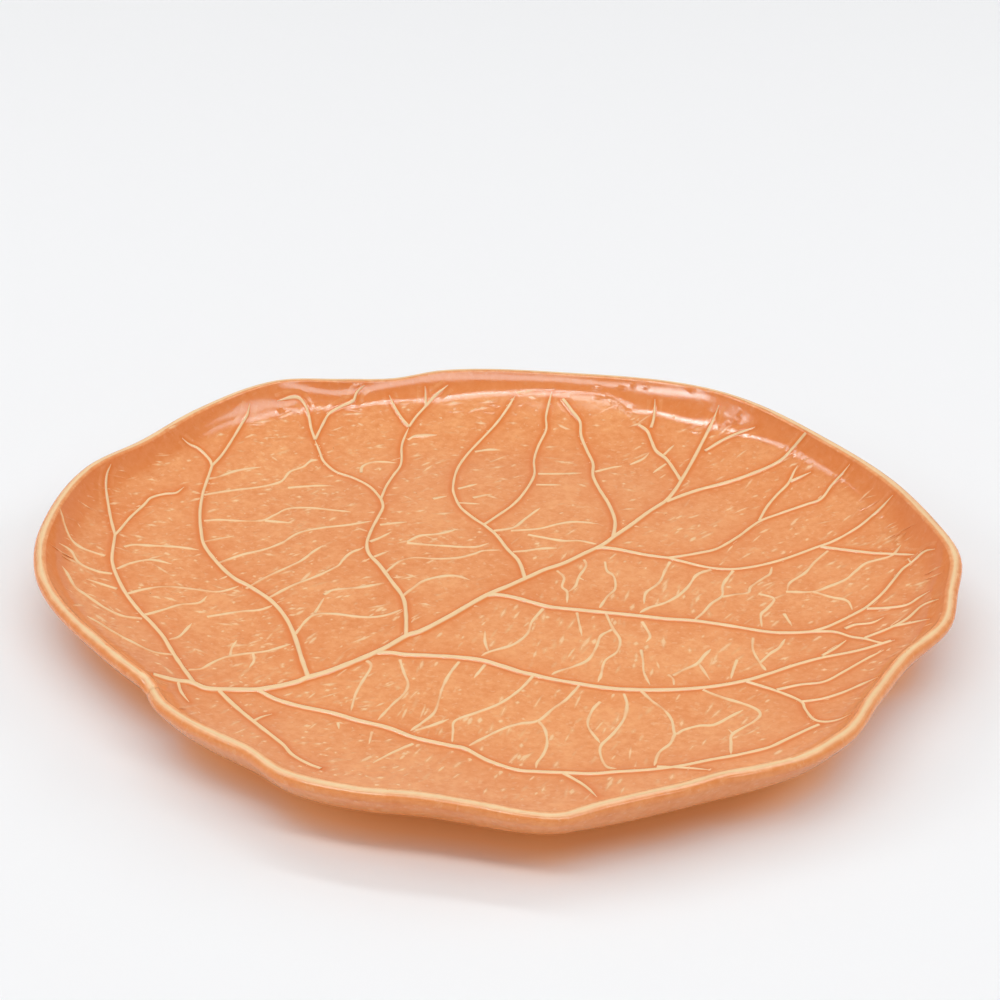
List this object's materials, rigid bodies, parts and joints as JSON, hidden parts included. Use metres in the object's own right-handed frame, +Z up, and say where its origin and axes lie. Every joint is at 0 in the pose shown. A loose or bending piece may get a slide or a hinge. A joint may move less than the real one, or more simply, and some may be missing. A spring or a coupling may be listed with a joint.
{
  "type": "leaf_plate",
  "caption": "Leaf shaped ceramic plate with raised pale veins, a wavy rounded lip, orange glaze and a foot ring underneath",
  "frame": {"origin": "Middle of the foot ring's underside on the table, which is also the middle of the leaf's plan box", "axes": "+Z up, +Y along the midrib from the stem notch to the tip, +X to the right across the leaf"},
  "size_m": [0.2824, 0.267, 0.0237],
  "materials": {
    "clay": "pale clay under a thin clear glaze",
    "orange_glaze": "gloss"
  },
  "bodies": {
    "root": {"leaf_slab": "clay", "foot_ring": "clay", "face_glaze": "orange_glaze", "back_glaze": "orange_glaze", "base_glaze": "orange_glaze"}
  },
  "joints": []
}
